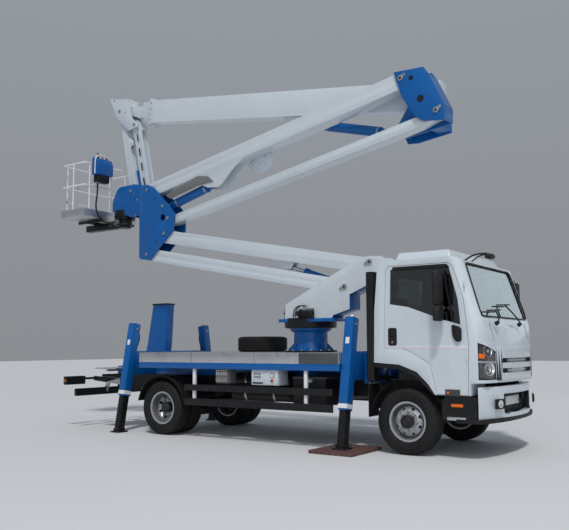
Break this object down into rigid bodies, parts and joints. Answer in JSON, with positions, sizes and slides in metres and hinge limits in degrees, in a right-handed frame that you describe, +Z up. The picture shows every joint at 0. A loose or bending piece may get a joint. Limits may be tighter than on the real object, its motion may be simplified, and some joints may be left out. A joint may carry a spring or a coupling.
{
  "type": "cherry picker truck",
  "caption": "Cab-over truck with outriggers, a slewing turret, a folding parallelogram arm, a telescopic boom, a hanging jib and a turning work basket.",
  "frame": {"origin": "on the ground under the middle of the bounding box", "axes": "+X forwards along the truck, +Y to its left, +Z up"},
  "size_m": [9.0127, 3.11, 6.5],
  "materials": {
    "white_paint": "gloss",
    "blue_paint": "gloss",
    "black_paint": "satin",
    "black_plastic": "matt",
    "aluminium": "satin",
    "chrome_rod": "polished",
    "tyre": "matt",
    "rim_paint": "satin",
    "glass": "clear",
    "lamp_plastic": "gloss",
    "fabric": "woven",
    "rubber_hose": "matt",
    "grey_block": "rough"
  },
  "bodies": {
    "chassis": {"chassis_frame": "black_paint", "subframe": "blue_paint", "deck": "aluminium", "pedestal": "blue_paint", "axles": "black_paint", "engine": "grey_block", "tanks_and_intake": "black_plastic", "side_guards": "aluminium", "control_cabinet": "white_paint", "mudguards": "black_plastic", "boom_rest": "blue_paint", "rear_bumper": "aluminium", "front_bumper": "white_paint", "spare_wheel": "tyre"},
    "cab": {"cab_shell": "white_paint", "cab_glass": "glass", "grille": "white_paint", "headlamps": "lamp_plastic", "cab_interior": "fabric"},
    "door_right_body": {"door_right": "white_paint"},
    "door_left_body": {"door_left": "white_paint"},
    "steered_left": {"steering_knuckle_left": "black_paint"},
    "steered_right": {"steering_knuckle_right": "black_paint"},
    "wheel_body_front_left": {"tyre_front_left": "tyre", "wheel_front_left": "rim_paint"},
    "wheel_body_front_right": {"tyre_front_right": "tyre", "wheel_front_right": "rim_paint"},
    "wheel_body_rear_left": {"tyre_rear_left": "tyre", "wheel_rear_left": "rim_paint"},
    "wheel_body_rear_right": {"tyre_rear_right": "tyre", "wheel_rear_right": "rim_paint"},
    "leg_body_front_left": {"leg_front_left": "black_paint"},
    "leg_body_front_right": {"leg_front_right": "black_paint"},
    "leg_body_rear_left": {"leg_rear_left": "black_paint"},
    "leg_body_rear_right": {"leg_rear_right": "black_paint"},
    "turret_body": {"turret": "white_paint"},
    "lower_arm_body": {"lower_arm": "white_paint"},
    "lower_link_body": {"lower_link": "white_paint"},
    "knuckle_1_body": {"knuckle_1": "blue_paint"},
    "upper_arm_body": {"upper_arm": "white_paint"},
    "upper_link_body": {"upper_link": "white_paint"},
    "knuckle_2_body": {"knuckle_2": "blue_paint"},
    "boom_outer_body": {"boom_outer": "white_paint"},
    "boom_inner_body": {"boom_inner": "white_paint"},
    "head_body": {"head": "white_paint"},
    "jib_arm_body": {"jib_arm": "white_paint"},
    "jib_link_body": {"jib_link": "white_paint"},
    "jib_end_body": {"jib_end": "blue_paint"},
    "lower_cylinder_body": {"lower_cylinder": "blue_paint"},
    "lower_rod_body": {"lower_rod": "chrome_rod"},
    "upper_cylinder_body": {"upper_cylinder": "blue_paint"},
    "upper_rod_body": {"upper_rod": "chrome_rod"},
    "boom_cylinder_body": {"boom_cylinder": "blue_paint"},
    "boom_rod_body": {"boom_rod": "chrome_rod"},
    "jib_cylinder_body": {"jib_cylinder": "blue_paint"},
    "jib_rod_body": {"jib_rod": "chrome_rod"},
    "basket_body": {"basket": "aluminium", "console": "blue_paint", "hose": "rubber_hose"}
  },
  "joints": [
    {"name": "cab_tilt", "type": "hinge", "parent": "chassis", "child": "cab", "pos_m": [4.433, 0, 0.93], "axis": [0, 1, 0], "range_deg": [0, 45]},
    {"name": "door_right_hinge", "type": "hinge", "parent": "cab", "child": "door_right_body", "pos_m": [4.208, -1.05, 1.6], "axis": [0, 0, 1], "range_deg": [0, 70]},
    {"name": "door_left_hinge", "type": "hinge", "parent": "cab", "child": "door_left_body", "pos_m": [4.208, 1.05, 1.6], "axis": [0, 0, -1], "range_deg": [0, 70]},
    {"name": "steer_left", "type": "hinge", "parent": "chassis", "child": "steered_left", "pos_m": [3.303, 0.79, 0.4335], "axis": [0, 0, 1], "range_deg": [-32, 32]},
    {"name": "steer_right", "type": "hinge", "parent": "chassis", "child": "steered_right", "pos_m": [3.303, -0.79, 0.4335], "axis": [0, 0, 1], "range_deg": [-32, 32]},
    {"name": "wheel_spin_front_left", "type": "hinge", "parent": "steered_left", "child": "wheel_body_front_left", "pos_m": [3.303, 0.897, 0.4335], "axis": [0, 1, 0], "continuous": true},
    {"name": "wheel_spin_rear_left", "type": "hinge", "parent": "chassis", "child": "wheel_body_rear_left", "pos_m": [-1.057, 0.988, 0.4335], "axis": [0, 1, 0], "continuous": true},
    {"name": "wheel_spin_front_right", "type": "hinge", "parent": "steered_right", "child": "wheel_body_front_right", "pos_m": [3.303, -0.897, 0.4335], "axis": [0, 1, 0], "continuous": true},
    {"name": "wheel_spin_rear_right", "type": "hinge", "parent": "chassis", "child": "wheel_body_rear_right", "pos_m": [-1.057, -0.988, 0.4335], "axis": [0, 1, 0], "continuous": true},
    {"name": "leg_slide_front_left", "type": "slide", "parent": "chassis", "child": "leg_body_front_left", "axis": [0, -0.1732, 0.9849], "range_m": [0, 0.4]},
    {"name": "leg_slide_rear_left", "type": "slide", "parent": "chassis", "child": "leg_body_rear_left", "axis": [0, -0.1732, 0.9849], "range_m": [0, 0.4]},
    {"name": "leg_slide_front_right", "type": "slide", "parent": "chassis", "child": "leg_body_front_right", "axis": [0, 0.1732, 0.9849], "range_m": [0, 0.4]},
    {"name": "leg_slide_rear_right", "type": "slide", "parent": "chassis", "child": "leg_body_rear_right", "axis": [0, 0.1732, 0.9849], "range_m": [0, 0.4]},
    {"name": "slew", "type": "hinge", "parent": "chassis", "child": "turret_body", "pos_m": [1.153, 0, 1.8], "axis": [0, 0, 1], "continuous": true},
    {"name": "lower_lift", "type": "hinge", "parent": "turret_body", "child": "lower_arm_body", "pos_m": [2.437, -0.195, 2.67], "axis": [0, 1, 0], "range_deg": [-16, 60]},
    {"name": "lower_link_hinge", "type": "hinge", "parent": "turret_body", "child": "lower_link_body", "pos_m": [2.001, -0.195, 2.318], "axis": [0, 1, 0], "range_deg": [-16, 60]},
    {"name": "knuckle_1_level", "type": "hinge", "parent": "lower_arm_body", "child": "knuckle_1_body", "pos_m": [-1.783, -0.195, 3.482], "axis": [0, 1, 0], "range_deg": [-60, 16]},
    {"name": "upper_lift", "type": "hinge", "parent": "knuckle_1_body", "child": "upper_arm_body", "pos_m": [-2.242, -0.195, 4.345], "axis": [0, -1, 0], "range_deg": [-6, 55]},
    {"name": "upper_link_hinge", "type": "hinge", "parent": "knuckle_1_body", "child": "upper_link_body", "pos_m": [-1.695, -0.195, 3.755], "axis": [0, -1, 0], "range_deg": [-6, 55]},
    {"name": "knuckle_2_level", "type": "hinge", "parent": "upper_arm_body", "child": "knuckle_2_body", "pos_m": [3.003, -0.195, 5.375], "axis": [0, -1, 0], "range_deg": [-55, 6]},
    {"name": "boom_lift", "type": "hinge", "parent": "knuckle_2_body", "child": "boom_outer_body", "pos_m": [3.313, 0.17, 5.001], "axis": [0, 1, 0], "range_deg": [-17.5, 25]},
    {"name": "boom_extend", "type": "slide", "parent": "boom_outer_body", "child": "boom_inner_body", "axis": [-0.9895, 0, 0.1444], "range_m": [0, 4.2]},
    {"name": "head_level", "type": "hinge", "parent": "boom_inner_body", "child": "head_body", "pos_m": [-3.02675, 0.17, 6.1], "axis": [0, 1, 0], "range_deg": [-25, 17.5]},
    {"name": "jib_lift", "type": "hinge", "parent": "head_body", "child": "jib_arm_body", "pos_m": [-3.45675, 0.17, 6.19], "axis": [0, -1, 0], "range_deg": [-100, 5]},
    {"name": "jib_link_hinge", "type": "hinge", "parent": "head_body", "child": "jib_link_body", "pos_m": [-3.02675, 0.17, 5.84], "axis": [0, -1, 0], "range_deg": [-100, 5]},
    {"name": "jib_end_level", "type": "hinge", "parent": "jib_arm_body", "child": "jib_end_body", "pos_m": [-3.08675, 0.17, 4.5], "axis": [0, -1, 0], "range_deg": [-5, 100]},
    {"name": "basket_swing", "type": "hinge", "parent": "jib_end_body", "child": "basket_body", "pos_m": [-3.39675, 0.17, 4], "axis": [0, 0, 1], "range_deg": [-90, 90]},
    {"name": "lower_cylinder_hinge", "type": "hinge", "parent": "turret_body", "child": "lower_cylinder_body", "pos_m": [2.001, -0.195, 2.318], "axis": [0, 1, 0], "range_deg": [-17, 63.3]},
    {"name": "lower_rod_slide", "type": "slide", "parent": "lower_cylinder_body", "child": "lower_rod_body", "axis": [-0.9421, 0, 0.3353], "range_m": [-0.142, 0.526]},
    {"name": "upper_cylinder_hinge", "type": "hinge", "parent": "knuckle_1_body", "child": "upper_cylinder_body", "pos_m": [-1.83, -0.195, 3.996], "axis": [0, -1, 0], "range_deg": [-6.6, 58.9]},
    {"name": "upper_rod_slide", "type": "slide", "parent": "upper_cylinder_body", "child": "upper_rod_body", "axis": [0.9675, 0, 0.2528], "range_m": [-0.054, 0.476]},
    {"name": "boom_cylinder_hinge", "type": "hinge", "parent": "knuckle_2_body", "child": "boom_cylinder_body", "pos_m": [2.843, 0.17, 4.66], "axis": [0, 1, 0], "range_deg": [-20.2, 28.7]},
    {"name": "boom_rod_slide", "type": "slide", "parent": "boom_cylinder_body", "child": "boom_rod_body", "axis": [-0.9648, 0, 0.2631], "range_m": [-0.143, 0.203]},
    {"name": "jib_cylinder_hinge", "type": "hinge", "parent": "jib_end_body", "child": "jib_cylinder_body", "pos_m": [-2.89675, 0.17, 4.3], "axis": [0, -1, 0], "range_deg": [-91.5, 4.8]},
    {"name": "jib_rod_slide", "type": "slide", "parent": "jib_cylinder_body", "child": "jib_rod_body", "axis": [-0.2195, 0, 0.9756], "range_m": [-0.406, 0.022]}
  ],
  "couplings": [
    {"joint": "steer_right", "follows": "steer_left", "ratio": 1},
    {"joint": "lower_link_hinge", "follows": "lower_lift", "ratio": 1},
    {"joint": "knuckle_1_level", "follows": "lower_lift", "ratio": -1},
    {"joint": "upper_link_hinge", "follows": "upper_lift", "ratio": 1},
    {"joint": "knuckle_2_level", "follows": "upper_lift", "ratio": -1},
    {"joint": "head_level", "follows": "boom_lift", "ratio": -1},
    {"joint": "jib_link_hinge", "follows": "jib_lift", "ratio": 1},
    {"joint": "jib_end_level", "follows": "jib_lift", "ratio": -1},
    {"joint": "lower_cylinder_hinge", "follows": "lower_lift", "ratio": 1.0514},
    {"joint": "lower_rod_slide", "follows": "lower_lift", "m_per_rad": 0.5002},
    {"joint": "upper_cylinder_hinge", "follows": "upper_lift", "ratio": 1.0671},
    {"joint": "upper_rod_slide", "follows": "upper_lift", "m_per_rad": 0.4937},
    {"joint": "boom_cylinder_hinge", "follows": "boom_lift", "ratio": 1.142},
    {"joint": "boom_rod_slide", "follows": "boom_lift", "m_per_rad": 0.4607},
    {"joint": "jib_cylinder_hinge", "follows": "jib_lift", "ratio": 0.9131},
    {"joint": "jib_rod_slide", "follows": "jib_lift", "m_per_rad": 0.2317}
  ]
}
